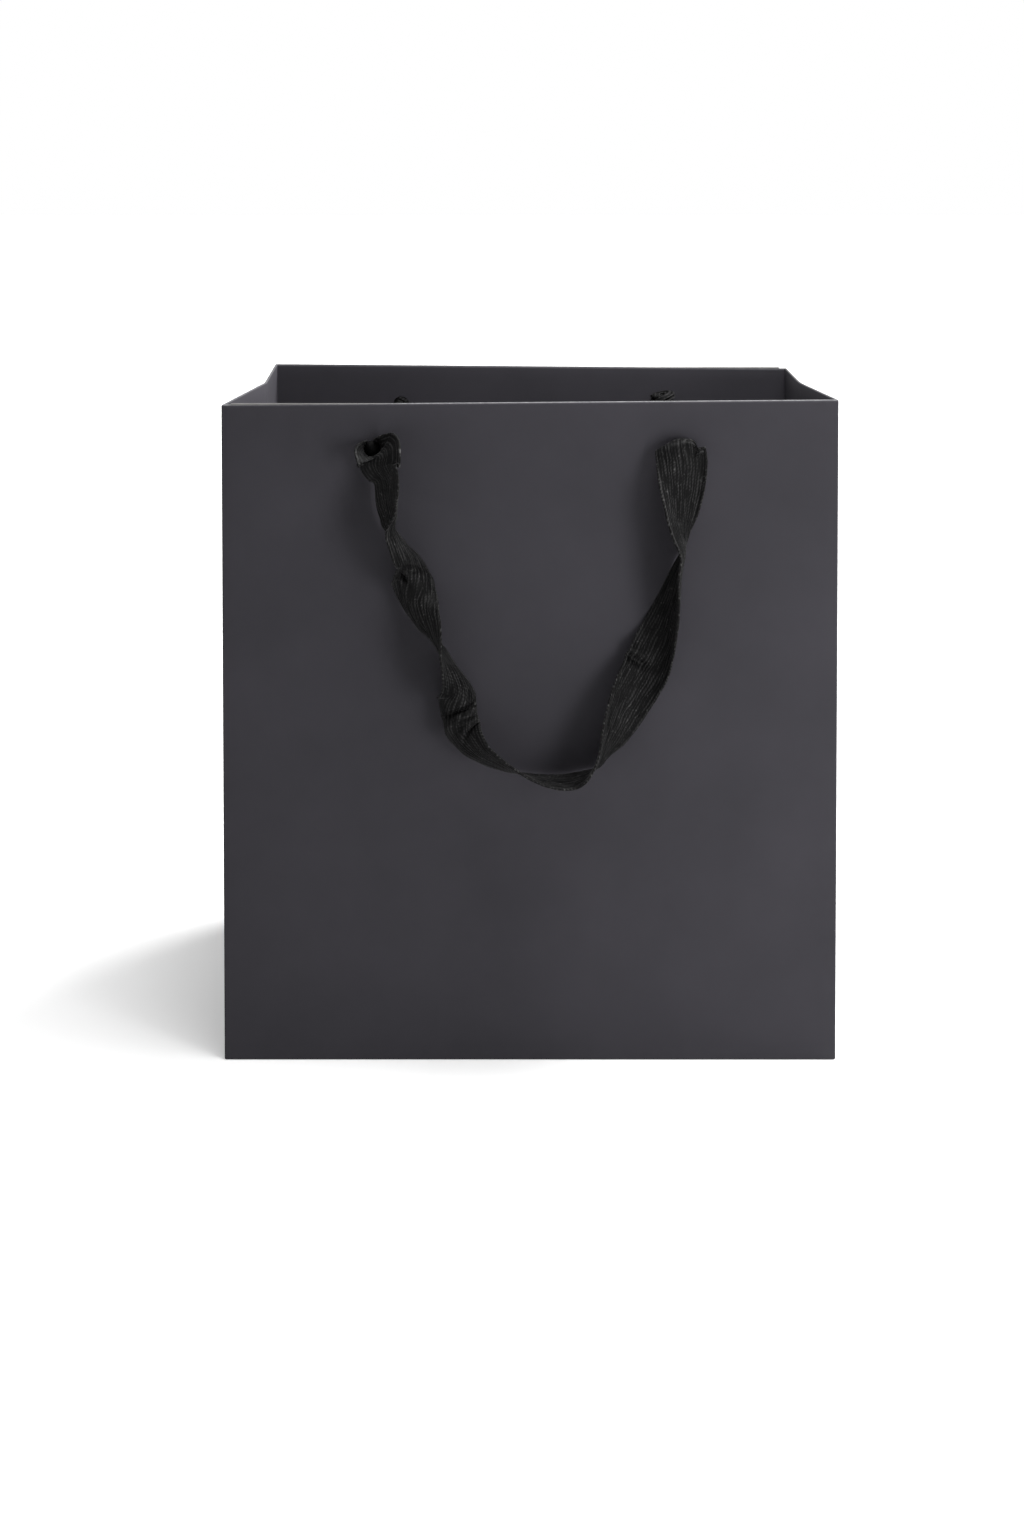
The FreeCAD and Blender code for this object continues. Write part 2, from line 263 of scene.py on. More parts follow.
def paper_material():
    """Matte laminated paper: cloudy tone, fine tooth and paler folds, partly rubbed and partly a painted
    highlight.
    """
    material, nodes, links, shader = new_material("bag_paper")
    place = nodes.new("ShaderNodeTexCoord").outputs["Object"]
    clouds = noise_node(nodes, links, place, CLOUD_SCALE, detail=5.0, rough=0.6)
    tone = ramp_node(nodes, links, clouds, 0.3, 0.7, PAPER_DARK, PAPER_LIGHT)
    tooth = noise_node(nodes, links, place, TOOTH_SCALE, detail=3.0, rough=0.6)
    fibre = noise_node(nodes, links, place, FIBRE_SCALE, detail=6.0, rough=0.7)
    speck = ramp_node(nodes, links, fibre, 0.35, 0.75, (0.35, 0.35, 0.35), WHITE)
    # Folds are mixed towards the pale colour, broken up by fibre: rubbed wear and a painted highlight.
    rub_and_highlight = math_node(nodes, links, "MULTIPLY", attribute_node(nodes, "wear"), speck)
    links.new(mix_node(nodes, links, rub_and_highlight, tone, PAPER_WORN_AND_HIGHLIGHT), shader.inputs["Base Color"])
    rough = nodes.new("ShaderNodeMapRange")
    rough.inputs["To Min"].default_value = PAPER_ROUGH[0]
    rough.inputs["To Max"].default_value = PAPER_ROUGH[1]
    links.new(clouds, rough.inputs["Value"])
    links.new(rough.outputs["Result"], shader.inputs["Roughness"])
    shader.inputs["Specular IOR Level"].default_value = 0.08
    grain = bump_node(nodes, links, fibre, 0.12, 0.05 * MM)
    links.new(bump_node(nodes, links, tooth, 0.10, 0.02 * MM, grain), shader.inputs["Normal"])
    return material


def board_material():
    """Grey board: uncoated, with flecks and soft mottling."""
    material, nodes, links, shader = new_material("grey_board")
    place = nodes.new("ShaderNodeTexCoord").outputs["Object"]
    mottle = noise_node(nodes, links, place, MOTTLE_SCALE, detail=6.0, rough=0.65)
    tone = ramp_node(nodes, links, mottle, 0.3, 0.7, BOARD_DARK, BOARD_LIGHT)
    fleck = noise_node(nodes, links, place, FLECK_SCALE, detail=4.0, rough=0.7)
    mask = ramp_node(nodes, links, fleck, 0.62, 0.70, BLACK, WHITE)
    links.new(mix_node(nodes, links, mask, tone, BOARD_FLECK), shader.inputs["Base Color"])
    shader.inputs["Roughness"].default_value = 0.85
    links.new(bump_node(nodes, links, fleck, 0.25, 0.05 * MM), shader.inputs["Normal"])
    return material


def ribbon_material():
    """Black woven tape: broken lines of yarn with a painted highlight on the rib crowns and painted shade
    in the grooves, slanted picks, and painted glints on the crowns and along the edges.
    """
    material, nodes, links, shader = new_material("ribbon")
    along = attribute_node(nodes, "along")
    across = attribute_node(nodes, "across")
    rib = attribute_node(nodes, "rib")
    edge = attribute_node(nodes, "edge")
    cloth = nodes.new("ShaderNodeCombineXYZ")
    links.new(math_node(nodes, links, "MULTIPLY", along, STREAK_ALONG), cloth.inputs["X"])
    links.new(math_node(nodes, links, "MULTIPLY", across, STREAK_ACROSS), cloth.inputs["Y"])
    streak = noise_node(nodes, links, cloth.outputs["Vector"], 1.0, detail=3.0, rough=0.6)
    place = nodes.new("ShaderNodeTexCoord").outputs["Object"]
    loose = noise_node(nodes, links, place, FLECK_SCALE, detail=3.0, rough=0.6)
    slant = math_node(nodes, links, "MULTIPLY", across, YARN_SLANT)
    phase = math_node(nodes, links, "ADD", along, slant)
    jitter = math_node(nodes, links, "MULTIPLY", loose, YARN_JITTER)
    turn = math_node(nodes, links, "ADD", math_node(nodes, links, "MULTIPLY", phase, YARN_TURNS), jitter)
    pick = math_node(nodes, links, "MULTIPLY_ADD", math_node(nodes, links, "SINE", turn), 0.5, 0.5)
    yarn = ramp_node(nodes, links, streak, 0.36, 0.56, (0.1, 0.1, 0.1), WHITE)
    woven = math_node(nodes, links, "MULTIPLY_ADD", pick, 1 - PICK_FLOOR, PICK_FLOOR)
    crown = math_node(nodes, links, "MULTIPLY", math_node(nodes, links, "MULTIPLY", woven, rib), yarn)
    # Crowns of the ribs and yarns get a painted highlight, the grooves between them painted shade.
    tone = ramp_node(nodes, links, crown, 0.32, 0.85, RIBBON_GROOVE_SHADE, RIBBON_CROWN_HIGHLIGHT)
    # Painted glints: sparkles on lit crowns and beads of light along the edges.
    edge_glint = math_node(nodes, links, "MULTIPLY", edge, pick)
    glint = ramp_node(nodes, links, loose, 0.60, 0.80, BLACK, WHITE)
    edge_glint_strength = ramp_node(nodes, links, loose, 0.46, 0.72, (0.03, 0.03, 0.03), (0.6, 0.6, 0.6))
    lit = math_node(nodes, links, "MULTIPLY", crown, glint)
    painted_glint = math_node(nodes, links, "MAXIMUM", lit, math_node(nodes, links, "MULTIPLY", edge_glint, edge_glint_strength))
    links.new(mix_node(nodes, links, painted_glint, tone, RIBBON_PAINTED_GLINT), shader.inputs["Base Color"])
    shader.inputs["Roughness"].default_value = 0.55
    shader.inputs["Specular IOR Level"].default_value = 0.06
    shader.inputs["Sheen Weight"].default_value = 0.03
    shader.inputs["Sheen Roughness"].default_value = 0.35
    weave = bump_node(nodes, links, crown, 0.7, 0.16 * MM)
    links.new(bump_node(nodes, links, loose, 0.2, 0.06 * MM, weave), shader.inputs["Normal"])
    return material


outer_paper = paper_material()
grey_board = board_material()
ribbon_weave = ribbon_material()


# Bag walls


def rim_warp(point):
    """The mouth is slightly out of true: one pair of opposite corners stands higher."""
    rise = (max(0.0, point.z) / HEIGHT) ** 3
    return RIM_WARP * (point.x / HALF_WIDTH) * (-point.y / HALF_DEPTH) * rise


def wave(a, b, seed):
    """Slow unevenness of a hand-folded sheet, from -1 to 1."""
    return noise.noise(Vector((a / WAVE_LENGTH, b / WAVE_LENGTH, seed)))


def arc(radius, first, last, count):
    """Points (across, along) of a bend of the given radius, by the angle that it has turned."""
    turns = [math.radians(a) for a in steps(first, last, count)]
    return [(radius * math.sin(a), radius * (1 - math.cos(a))) for a in turns]


def around_holes(values, centres):
    """Grid lines for a wall: plain values away from the holes, and the holes' own lines."""
    kept = [v for v in values if all(abs(v - c) > HOLE_CLEAR for c in centres)]
    return sorted(kept + [c + line for c in centres for line in HOLE_LINES])


def wall_columns():
    """A wall seen from above, one corner bend to the other: (x, distance behind the face, flat)."""
    flat_half = HALF_WIDTH - CORNER_RADIUS
    bend = [(flat_half + across, back, False) for across, back in arc(CORNER_RADIUS, 0, 45, 5)[1:]]
    plain = steps(-flat_half, flat_half, round(2 * flat_half / WALL_STEP))
    middle = [(x, 0.0, True) for x in around_holes(plain, (-HOLE_X, HOLE_X))]
    return [(-x, back, flat) for x, back, flat in reversed(bend)] + middle + bend


def wall_rows(rub_and_highlight):
    """A wall from its foot over the rim and down the hem: (distance behind the face, z, wear and painted
    highlight).
    """
    rows = [(CORNER_RADIUS * (1 - math.cos(a)), CORNER_RADIUS * (1 - math.sin(a)), FOOT_WEAR_AND_HIGHLIGHT)
            for a in [math.radians(d) for d in steps(90, 0, 5)]]
    bend = RIM_THICK / 2
    plain = steps(CORNER_RADIUS, HEIGHT - bend, round(HEIGHT / WALL_STEP))[1:]
    rows += [(0.0, z, 0.0) for z in around_holes(plain, (HOLE_Z,))]
    # The rim is painted pale most on the outer half of its fold, by the angle that the paper has turned:
    # partly rubbed wear, partly a painted highlight where the fold catches the light.
    for angle in steps(0, 180, 13)[1:-1]:
        a = math.radians(angle)
        wear = rub_and_highlight * ease(35, 70, angle) * (1 - 0.7 * ease(90, 150, angle))
        rows.append((bend * (1 - math.cos(a)), HEIGHT - bend + bend * math.sin(a), wear))
    inner = around_holes(steps(HEM_FOOT, HEIGHT - bend, 11), (HOLE_Z,))
    rows += [(RIM_THICK, z, 0.0) for z in reversed(inner)]
    return rows


def punched(x, z):
    """A grid point on the square round a hole, moved onto the hole's round edge."""
    centre = math.copysign(HOLE_X, x)
    across, up = x - centre, z - HOLE_Z
    if abs(max(abs(across), abs(up)) - HOLE_RADIUS) > 0.01 * MM:
        return x, z
    share = HOLE_RADIUS / math.hypot(across, up)
    return centre + across * share, HOLE_Z + up * share


def build_wall(side, facing, rub_and_highlight, seed):
    """One broad wall with its rounded foot, rim fold, turned-in hem and punched holes."""
    columns = wall_columns()
    rows = wall_rows(rub_and_highlight)
    verts = []
    wear = []
    for back, z, rubbed_and_lit in rows:
        inside = back / RIM_THICK if z > HEM_FOOT - MM else 0.0
        for x, bend, flat in columns:
            x_here, z_here = punched(x, z) if flat else (x, z)
            calm = ease(0, WALL_CALM, HALF_WIDTH - abs(x)) * ease(0, WALL_CALM, z)
            calm *= ease(0, RIM_CALM, HEIGHT - z)
            depth = HALF_DEPTH - back - bend * (1 - inside) + WAVE_HEIGHT * calm * wave(x, z, seed)
            narrow = 1 - inside * HEM_INSET / HALF_WIDTH
            point = Vector((-facing * x_here * narrow, facing * depth, z_here))
            point.z += rim_warp(point)
            verts.append(point)
            wear.append(rubbed_and_lit)

    def open_cell(r, c):
        x = abs(columns[c][0] + columns[c + 1][0]) / 2
        z = (rows[r][1] + rows[r + 1][1]) / 2
        return abs(x - HOLE_X) < HOLE_RADIUS and abs(z - HOLE_Z) < HOLE_RADIUS

    faces = grid_faces(len(rows), len(columns), open_cell)
    wall = new_object(f"{side}_wall", verts, faces, outer_paper, {"wear": wear})
    thicken(wall)
    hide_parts(f"{side}_panel", f"{side}_hem")
    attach(wall, "bag")


# The front rim's fold gets the stronger painted highlight, the back rim's a weaker one.
build_wall("front", FACING["front"], rub_and_highlight=1.0, seed=1.7)
build_wall("back", FACING["back"], rub_and_highlight=0.4, seed=8.3)


# Side gussets


def tuck_at(y, z, side):
    """How far a side panel stands in: nothing at its corners, most at its middle crease."""
    top, soft = MOUTH_TUCK[side]
    most = TUCK + (top - TUCK) * ease(HALF_DEPTH, HEIGHT, z)
    round_y = math.sqrt(y * y + soft * soft)
    reach = math.sqrt(HALF_DEPTH * HALF_DEPTH + soft * soft)
    return most * (reach - round_y) / (reach - soft)


def gusset_columns():
    """A gusset half seen from above, from its corner to the middle crease: (corner inset, y)."""
    bend = [(CORNER_RADIUS - across, HALF_DEPTH - along)
            for across, along in arc(CORNER_RADIUS, 45, 90, 4)]
    flat = steps(HALF_DEPTH - CORNER_RADIUS, CREASE_ZONE, 16)[1:] + steps(CREASE_ZONE, 0.0, 6)[1:]
    return bend + [(0.0, y) for y in flat]


def gusset_rows(foot):
    """A gusset half from its slanted foot over the rim and down the hem: (depth in, z, wear and painted
    highlight).
    """
    bend = GUSSET_RIM / 2
    rows = [(0.0, z, 0.0) for z in steps(foot, HEIGHT - bend, 40)]
    for angle in steps(0, 180, 9)[1:-1]:
        a = math.radians(angle)
        # The gusset rim's fold is painted pale, as wear and painted highlight.
        rows.append((bend * (1 - math.cos(a)), HEIGHT - bend + bend * math.sin(a), GUSSET_RIM_WEAR_AND_HIGHLIGHT))
    return rows + [(GUSSET_RIM, z, 0.0) for z in steps(HEIGHT - bend, HEM_FOOT, 10)]


def build_gusset_half(side, way, half, facing, seed):
    """One half of a side panel, from the bag's corner to the middle crease."""
    columns = gusset_columns()
    by_column = [gusset_rows(max(CORNER_RADIUS, HALF_DEPTH - y)) for inset, y in columns]
    row_count = len(by_column[0])
    # The back half's hem runs on past the crease and the front half's stops short of it.
    past = CREASE_LIP if half == "back" else -CREASE_LIP - LIP_GAP
    verts = []
    wear = []
    for r in range(row_count):
        for (inset, y), rows in zip(columns, by_column):
            inward, z, rubbed_and_lit = rows[r]
            corner_share = y / HALF_DEPTH
            y_here = y - inward / GUSSET_RIM * (2 * HEM_INSET * corner_share + past * (1 - corner_share))
            calm = ease(0, CREASE_CALM, HALF_DEPTH - y) * ease(0, CREASE_CALM, y)
            calm *= ease(0, RIM_CALM, HEIGHT - z) * ease(0, SLANT_CALM, z - (HALF_DEPTH - y))
            swell = WAVE_HEIGHT * calm * wave(y, z, seed)
            inset_here = inset + inward + tuck_at(y_here, z, side) - swell
            point = Vector((way * (HALF_WIDTH - inset_here), facing * y_here, z))
            point.z += rim_warp(point)
            verts.append(point)
            # The middle crease is painted slightly pale right at its fold, as wear and painted highlight.
            wear.append(max(rubbed_and_lit, CREASE_WEAR_AND_HIGHLIGHT * (1 - ease(0, CREASE_WEAR_AND_HIGHLIGHT_REACH, y))))
    faces = grid_faces(row_count, len(columns))
    if half == "back":
        add_crease_lip(verts, faces, wear, side, way)
    if way * facing > 0:
        faces = [tuple(reversed(f)) for f in faces]
    sheet = new_object(f"{side}_gusset_{half}_sheet", verts, faces, outer_paper, {"wear": wear})
    thicken(sheet)
    body = f"{side}_gusset_{half}"
    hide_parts(body, f"{body}_hem")
    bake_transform(sheet)


def add_crease_lip(verts, faces, wear, side, way):
    """A narrow strip behind the middle crease, so that the fold stays closed when the panel tucks in.

    Its foot lies behind the lips of the slanted creases.
    """
    first = len(verts)
    levels = steps(HALF_DEPTH - APEX_COVER, HEM_FOOT, 24)
    across = steps(CREASE_LIP, -CREASE_LIP, 7)
    for z in levels:
        layers = 2 if z < HALF_DEPTH else 1
        for y in across:
            inset = tuck_at(y, z, side) + layers * (PAPER + LIP_GAP)
            point = Vector((way * (HALF_WIDTH - inset), y, z))
            point.z += rim_warp(point)
            verts.append(point)
            wear.append(0.0)
    faces.extend(tuple(first + i for i in face) for face in grid_faces(len(levels), len(across)))


def build_gusset_base(side, way, seed):
    """The triangle between a side panel's two slanted creases, with a lip behind each crease."""
    levels = [(CORNER_RADIUS * (1 - math.cos(a)), CORNER_RADIUS * (1 - math.sin(a)))
              for a in [math.radians(d) for d in steps(90, 0, 4)]]
    levels += [(0.0, z) for z in steps(CORNER_RADIUS, HALF_DEPTH - APEX_GAP, 22)[1:]]
    shares = steps(-1, 1, 21)
    verts = []
    for back, z in levels:
        wide = HALF_DEPTH - max(z, CORNER_RADIUS)
        for y in [wide * share for share in shares]:
            calm = ease(0, BASE_CALM, wide - abs(y)) * ease(0, BASE_CALM, z)
            inset = back + TUCK * z / HALF_DEPTH - BASE_WAVE * calm * wave(y, z, seed)
            verts.append(Vector((way * (HALF_WIDTH - inset), y, z)))
    faces = grid_faces(len(levels), len(shares))
    for facing in (-1, 1):
        first = len(verts)
        slants = steps(LIP_FOOT, HALF_DEPTH - CREASE_LIP, 16)
        offsets = steps(-CREASE_LIP, CREASE_LIP, 4)
        for z in slants:
            for offset in offsets:
                inset = TUCK * z / HALF_DEPTH + PAPER + LIP_GAP
                y = facing * (HALF_DEPTH - z + offset)
                verts.append(Vector((way * (HALF_WIDTH - inset), y, z)))
        strip = grid_faces(len(slants), len(offsets))
        strip = strip if facing > 0 else [tuple(reversed(f)) for f in strip]
        faces.extend(tuple(first + i for i in face) for face in strip)
    if way < 0:
        faces = [tuple(reversed(f)) for f in faces]
    # The base triangle gets neither rubbed wear nor painted highlight.
    no_pale_folds = {"wear": [0.0] * len(verts)}
    sheet = new_object(f"{side}_gusset_base_sheet", verts, faces, outer_paper, no_pale_folds)
    thicken(sheet)
    body = f"{side}_gusset_base"
    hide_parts(body)
    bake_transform(sheet)


for side, way in (("left", -1), ("right", 1)):
    build_gusset_half(side, way, "front", -1, 12.1 + way)
    build_gusset_half(side, way, "back", 1, 22.9 + way)
    build_gusset_base(side, way, 31.4 + way)


# Ribbon handles

# Control points of a handle from its left hole to its right hole, in millimetres: distance to the right
# of the middle, drop below the holes and distance in front of the panel; then the turn of the ribbon
# about its own line, the roll of its width into a tube and the curl of one edge, in degrees.
RIBBON_ROUTE = [
    (-48.5, 0.0, -1.0, 10, -330, 0),
    (-48.5, 0.0, 2.0, 15, -310, 0),
    (-47.5, -0.5, 5.5, 20, -140, 0),
    (-45.0, 0.5, 8.0, 25, -60, -50),
    (-46.0, 4.0, 8.0, 25, -50, -90),
    (-43.0, 8.0, 8.0, 50, -60, -100),
    (-43.0, 14.0, 8.0, 55, -65, -60),
    (-42.0, 19.0, 8.5, 65, -75, -20),
    (-42.5, 23.0, 9.0, 82, -90, 0),
    (-40.5, 26.0, 9.0, 95, -90, 0),
    (-38.5, 29.5, 8.5, 108, -95, 15),
    (-36.5, 33.0, 7.5, 125, -120, 50),
    (-35.0, 39.0, 6.0, 160, -165, 110),
    (-35.0, 45.5, 6.0, 205, -165, 50),
    (-33.0, 50.5, 7.5, 235, -115, 0),
    (-30.0, 55.0, 9.0, 250, -60, 0),
    (-28.0, 59.0, 9.0, 262, -25, 0),
    (-25.5, 63.0, 9.0, 280, 20, 0),
    (-22.5, 70.0, 7.5, 296, 110, 0),
    (-21.5, 75.5, 6.0, 340, 165, 0),
    (-22.5, 82.0, 6.0, 378, 160, 0),
    (-21.0, 87.0, 7.0, 406, 105, 0),
    (-16.5, 91.5, 8.5, 420, 50, 0),
    (-11.0, 94.5, 9.0, 422, 10, 0),
    (-5.5, 97.0, 9.0, 429, 0, 0),
    (1.5, 99.5, 9.0, 441, 0, 0),
    (9.5, 101.0, 9.0, 449, 10, 0),
    (15.5, 100.0, 9.0, 450, 10, 0),
    (20.0, 97.0, 9.0, 437, -10, 0),
    (22.5, 91.5, 8.5, 436, -30, 0),
    (26.0, 84.5, 6.5, 410, -60, 0),
    (30.5, 75.5, 4.5, 385, -75, 0),
    (36.0, 66.5, 3.0, 356, -90, 0),
    (41.0, 55.5, 5.0, 316, -80, 0),
    (44.0, 44.5, 7.0, 290, -45, 0),
    (45.5, 35.0, 9.0, 272, -35, 0),
    (47.0, 30.0, 9.0, 263, -30, 10),
    (45.5, 22.5, 8.5, 242, 0, 40),
    (46.0, 15.5, 7.0, 222, 5, 60),
    (46.5, 8.0, 5.5, 200, -20, 65),
    (46.5, 2.5, 5.5, 186, -40, 45),
    (45.5, -2.0, 5.0, 178, -80, 0),
    (46.8, -1.5, 2.0, 174, -220, 0),
    (48.5, 0.0, -1.0, 172, -330, 0),
]
# Crosswise kinks in the tape: distance along it, slant, height and length in millimetres, and the share
# of the half width at which the kink has run out. A negative length puts its steep side last.
RIBBON_KINKS = [
    (46.5, 5.1, 1.3, -2.0, 1.6),
    (96.2, 4.0, 2.6, 1.6, 2.0),
    (103.7, 3.9, 1.2, -1.6, 0.2),
    (184.0, -1.0, 1.8, 2.0, 0.2),
]
# Dents where the tape folds under itself: distance along it in millimetres, share of the half width,
# half length in millimetres, half width as a share, drift of that share per millimetre and depth.
RIBBON_DENTS = [
    (47.5, -0.62, 3.4, 0.11, 0.07, 3.4),
]
RIBBON_WIDTH = 16.0 * MM
RIBBON_THICK = 0.8 * MM
RIB_COUNT = 16
RIB_POINTS = 4
# Share of the ribbon's thickness that is left between two ribs.
RIB_GROOVE = 0.55
# The ribs wander sideways: by this share of the half width, over this length, in this many waves across.
RIB_WANDER = 0.08
WANDER_LENGTH = 5.0 * MM
WANDER_WAVES = 4
WANDER_SEED = 5
SAMPLES_PER_SPAN = 16
LIP_START = 0.6
SELVAGE = 0.93
# A kink's ridge and the dip before it: place in kink lengths, sharpness and relative depth.
KINK_FADE = 0.5
RIDGE_AT = 0.5
RIDGE_STEEP = 3.0
RIDGE_GENTLE = 0.5
DIP_AT = -0.7
DIP_SHARP = 4.0
DIP_DEPTH = 0.8


def spline_points(points):
    """Points along a smooth NURBS line that has the given control points."""
    data = bpy.data.curves.new("route", "CURVE")
    data.dimensions = "3D"
    spline = data.splines.new("NURBS")
    spline.points.add(len(points) - 1)
    for control, point in zip(spline.points, points):
        control.co = (*point, 1)
    spline.order_u = 3
    spline.use_endpoint_u = True
    spline.resolution_u = SAMPLES_PER_SPAN
    data.resolution_u = SAMPLES_PER_SPAN
    thing = bpy.data.objects.new("route", data)
    bpy.context.collection.objects.link(thing)
    bpy.context.view_layer.update()
    mesh = bpy.data.meshes.new_from_object(thing)
    line = [v.co.copy() for v in mesh.vertices]
    bpy.data.objects.remove(thing)
    bpy.data.curves.remove(data)
    bpy.data.meshes.remove(mesh)
    return line


def beside_panel(facing, x, drop, out):
    """A point by its place on a panel, in millimetres: to the right, below the holes and in front."""
    return Vector((-facing * x, facing * (HALF_DEPTH / MM + out), HOLE_Z / MM - drop)) * MM


def section_line(roll, lip, shares):
    """Cross-section of the ribbon's middle: (across, out, slope) at each share of the half width."""
    curled = math.copysign(1.0, lip)
    slopes = [roll * share / 2 - lip * ease(LIP_START, 1.0, -curled * share) for share in shares]
    across = [0.0]
    out = [0.0]
    for i in range(1, len(shares)):
        length = (shares[i] - shares[i - 1]) * RIBBON_WIDTH / 2
        middle = (slopes[i] + slopes[i - 1]) / 2
        across.append(across[-1] + math.cos(middle) * length)
        out.append(out[-1] + math.sin(middle) * length)
    centre_a = sum(across) / len(across)
    centre_o = sum(out) / len(out)
    return [(a - centre_a, o - centre_o, s) for a, o, s in zip(across, out, slopes)]


def kink_at(travelled, share):
    """Height of the tape's kinks and dents at a place on it; a kink is a dip and then a ridge."""
    height = 0.0
    for place, slant, rise, length, until in RIBBON_KINKS:
        t = (travelled / MM - place - slant * share) / length
        ridge = math.exp(-(t - RIDGE_AT) ** 2 * (RIDGE_STEEP if t < RIDGE_AT else RIDGE_GENTLE))
        dip = DIP_DEPTH * math.exp(-(t - DIP_AT) ** 2 * DIP_SHARP)
        height += rise * (ridge - dip) * (1 - ease(until - KINK_FADE, until, share))
    for place, middle, half_length, half_width, drift, depth in RIBBON_DENTS:
        past = travelled / MM - place
        t = (share - middle - drift * past) / half_width
        height -= depth * math.exp(-(past / half_length) ** 2 - t * t)
    return height * MM


def ribbon_mesh(name, facing):
    """A hanging handle: woven tape that leaves its holes rolled up, opens out and twists as it hangs."""
    outward = Vector((0, facing, 0))
    line = spline_points([beside_panel(facing, *entry[:3]) for entry in RIBBON_ROUTE])
    shape = spline_points([entry[3:] for entry in RIBBON_ROUTE])
    last = len(line) - 1
    lanes = RIB_COUNT * RIB_POINTS + 1
    shares = steps(-1, 1, lanes)
    crests = [abs(math.sin(math.pi * lane / RIB_POINTS)) for lane in range(lanes)]
    verts = []
    along_values = []
    across_values = []
    travelled = 0.0
    for i, middle in enumerate(line):
        along = (line[min(i + 1, last)] - line[max(i - 1, 0)]).normalized()
        if i:
            travelled += (middle - line[i - 1]).length
        lean = abs(along.dot(outward))
        reference = outward * (1 - lean) + Vector((0, 0, 1)) * lean
        front = (reference - along * along.dot(reference)).normalized()
        turn, roll, lip = (math.radians(v) for v in shape[i])
        reach = along.cross(front) * math.cos(turn) - front * math.sin(turn)
        face = along.cross(reach)
        wander = []
        for share in shares:
            drift = noise.noise(Vector((travelled / WANDER_LENGTH, WANDER_WAVES * share, WANDER_SEED)))
            wander.append(share + RIB_WANDER * (1 - share * share) * drift)
        upper = []
        lower = []
        for (a, o, slope), crest, share in zip(section_line(roll, lip, wander), crests, shares):
            point = middle + outward * kink_at(travelled, share) + reach * a + face * o
            half_thick = RIBBON_THICK / 2 * (RIB_GROOVE + (1 - RIB_GROOVE) * crest)
            half = (face * math.cos(slope) - reach * math.sin(slope)) * half_thick
            upper.append(point + half)
            lower.append(point - half)
        verts.extend(upper + lower[::-1])
        along_values.extend([travelled] * (2 * lanes))
        spread = [share * RIBBON_WIDTH / 2 for share in shares]
        across_values.extend(spread + spread[::-1])
    ring = 2 * lanes
    # The selvage carries painted glints, the rib crests the material's painted crown highlight and groove
    # shade.
    edges = [ease(SELVAGE, 1.0, abs(share)) for share in shares]
    attributes = {"along": along_values,
                  "across": across_values,
                  "rib": (crests + crests[::-1]) * len(line),
                  "edge": (edges + edges[::-1]) * len(line)}
    ribbon = new_object(name, verts, ring_faces(len(line), ring), ribbon_weave, attributes)
    return ribbon, line, travelled


def ring_faces(count, ring):
    """Faces of a closed tube of rings of points, capped at both ends."""
    faces = []
    for i in range(count - 1):
        for c in range(ring):
            n = (c + 1) % ring
            faces.append((i * ring + c, i * ring + n, (i + 1) * ring + n, (i + 1) * ring + c))
    faces.append(tuple(range(ring - 1, -1, -1)))
    faces.append(tuple((count - 1) * ring + c for c in range(ring)))
    return faces


for side, facing in FACING.items():
    ribbon, line, length = ribbon_mesh(f"{side}_handle_ribbon", facing)
    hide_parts(f"{side}_handle_loop")
    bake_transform(ribbon)


# Knots inside the bag

# Pleats of the gathered ribbon, which sway round it on their way along.
PLEATS = 7
PLEAT_DEPTH = 0.13
PLEAT_SWAY = 1.3
PLEAT_SWAY_LENGTH = 3.0 * MM
RING_POINTS = 42
# The gathered strand's half width in its hole, its narrowing there, and the tail's spread and flattening.
NECK_HALF = 3.05 * MM
NECK_NARROWING = 1.25 * MM
TAIL_SPREAD = 2.8 * MM
TAIL_FLATTENING = 1.1 * MM
# The strand wound round the knot: its coil in millimetres, with the coil's distance in, top, height and
# tilt, and then the strand's own half width and half depth.
WRAP_TURNS = 1.7
WRAP_RADIUS = 2.9
WRAP_STEPS = 14
WRAP_INSET = -5.6
WRAP_TOP = -2.4
WRAP_HEIGHT = 4.2
WRAP_TILT = 0.35
WRAP_HALF_WIDTH = 1.9 * MM
WRAP_HALF_DEPTH = 1.5 * MM


def sweep(line, sizes):
    """Rings of a gathered strand along a line.

    At each share of the way, sizes gives the half width, the half depth and the depth of the pleats.
    """
    last = len(line) - 1
    normal = Vector((1, 0, 0))
    verts = []
    along_values = []
    ribs = []
    travelled = 0.0
    for i, middle in enumerate(line):
        along = (line[min(i + 1, last)] - line[max(i - 1, 0)]).normalized()
        if i:
            travelled += (middle - line[i - 1]).length
        normal = (normal - along * normal.dot(along)).normalized()
        other = along.cross(normal)
        wide, deep, pleated = sizes(i / last)
        for k in range(RING_POINTS):
            angle = 2 * math.pi * k / RING_POINTS
            pleat = math.cos(PLEATS * angle + PLEAT_SWAY * math.sin(travelled / PLEAT_SWAY_LENGTH))
            spoke = normal * wide * math.cos(angle) + other * deep * math.sin(angle)
            verts.append(middle + spoke * (1 + pleated * pleat))
            along_values.append(travelled)
            # Pleat crests take the ribbon's painted highlight and the troughs between them its painted
            # shade.
            ribs.append(0.5 + 0.5 * pleat)
    return verts, along_values, ribs


def neck_sizes(share):
    """The strand from the hole, which it fills, through the knot to its flared tail."""
    flare = ease(0.55, 1.0, share)
    narrow = ease(0.14, 0.3, share)
    gathered = NECK_HALF - NECK_NARROWING * narrow
    return gathered + TAIL_SPREAD * flare, gathered - TAIL_FLATTENING * flare, PLEAT_DEPTH * narrow


def wrap_sizes(share):
    """The strand that is wound round the knot."""
    return WRAP_HALF_WIDTH, WRAP_HALF_DEPTH, PLEAT_DEPTH


